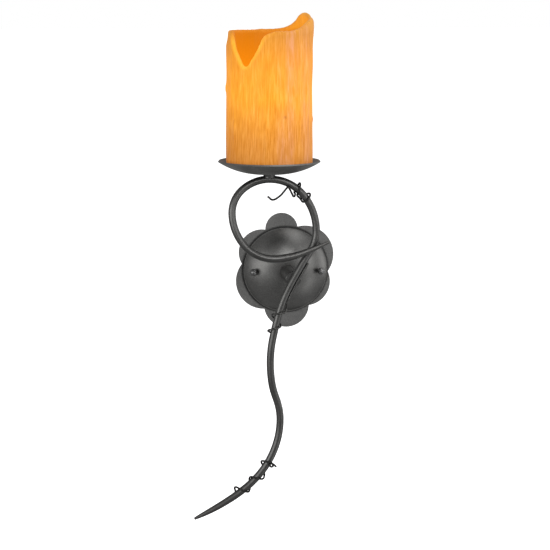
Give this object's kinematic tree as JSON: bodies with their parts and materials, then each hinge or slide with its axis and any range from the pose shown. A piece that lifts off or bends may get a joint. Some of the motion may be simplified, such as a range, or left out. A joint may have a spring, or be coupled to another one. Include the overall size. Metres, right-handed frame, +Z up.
{
  "type": "wall sconce",
  "caption": "Dark iron wall sconce: a scrolled vine bar with wire tendrils carries a dish, lamp and wax-look candle shade from a domed canopy on a petal plate.",
  "frame": {"origin": "centre of the canopy on the wall plane, midway between the two box screw slots", "axes": "+Z up, +Y into the wall, so the front faces -Y, and +X to the right as seen from the front"},
  "size_m": [0.183, 0.141, 0.612],
  "materials": {
    "iron": "satin dark iron, slightly rough",
    "wax": "translucent amber wax look, streaked",
    "zinc": "zinc plated",
    "brass": "plain",
    "phenolic": "matt black",
    "lamp_metal": "plain",
    "glass": "frosted"
  },
  "bodies": {
    "sconce": {"petal_plate": "iron", "canopy_dome": "iron", "box_bar": "zinc", "canopy_bar": "zinc", "bar_eyelet": "zinc", "ground_screw": "brass", "canopy_studs": "zinc", "stud_nuts": "zinc", "stem": "iron", "post": "iron", "post_washer": "zinc", "post_lock_nut": "zinc", "neck": "iron", "dish": "iron", "dish_lock_nut": "zinc", "socket_cap": "zinc", "socket_body": "phenolic", "screw_shell": "brass", "centre_contact": "brass", "tendrils": "iron"},
    "candle": {"candle_shade": "wax"},
    "bulb": {"bulb_globe": "glass", "bulb_base": "lamp_metal", "bulb_insulator": "phenolic", "bulb_contact": "lamp_metal"},
    "knob_left": {"knob_nut_left": "iron"},
    "knob_right": {"knob_nut_right": "iron"}
  },
  "joints": [
    {"name": "candle_lift", "type": "slide", "parent": "sconce", "child": "candle", "axis": [0, 0, 1], "range_m": [0, 0.11]},
    {"name": "bulb_turn", "type": "hinge", "parent": "sconce", "child": "bulb", "pos_m": [-0.0295, -0.08, 0.167], "axis": [0, 0, 1], "range_deg": [0, 900]},
    {"name": "knob_left_turn", "type": "hinge", "parent": "sconce", "child": "knob_left", "pos_m": [-0.042, -0.022, 0], "axis": [0, -1, 0], "range_deg": [0, 1440]},
    {"name": "knob_right_turn", "type": "hinge", "parent": "sconce", "child": "knob_right", "pos_m": [0.042, -0.022, 0], "axis": [0, -1, 0], "range_deg": [0, 1440]}
  ]
}
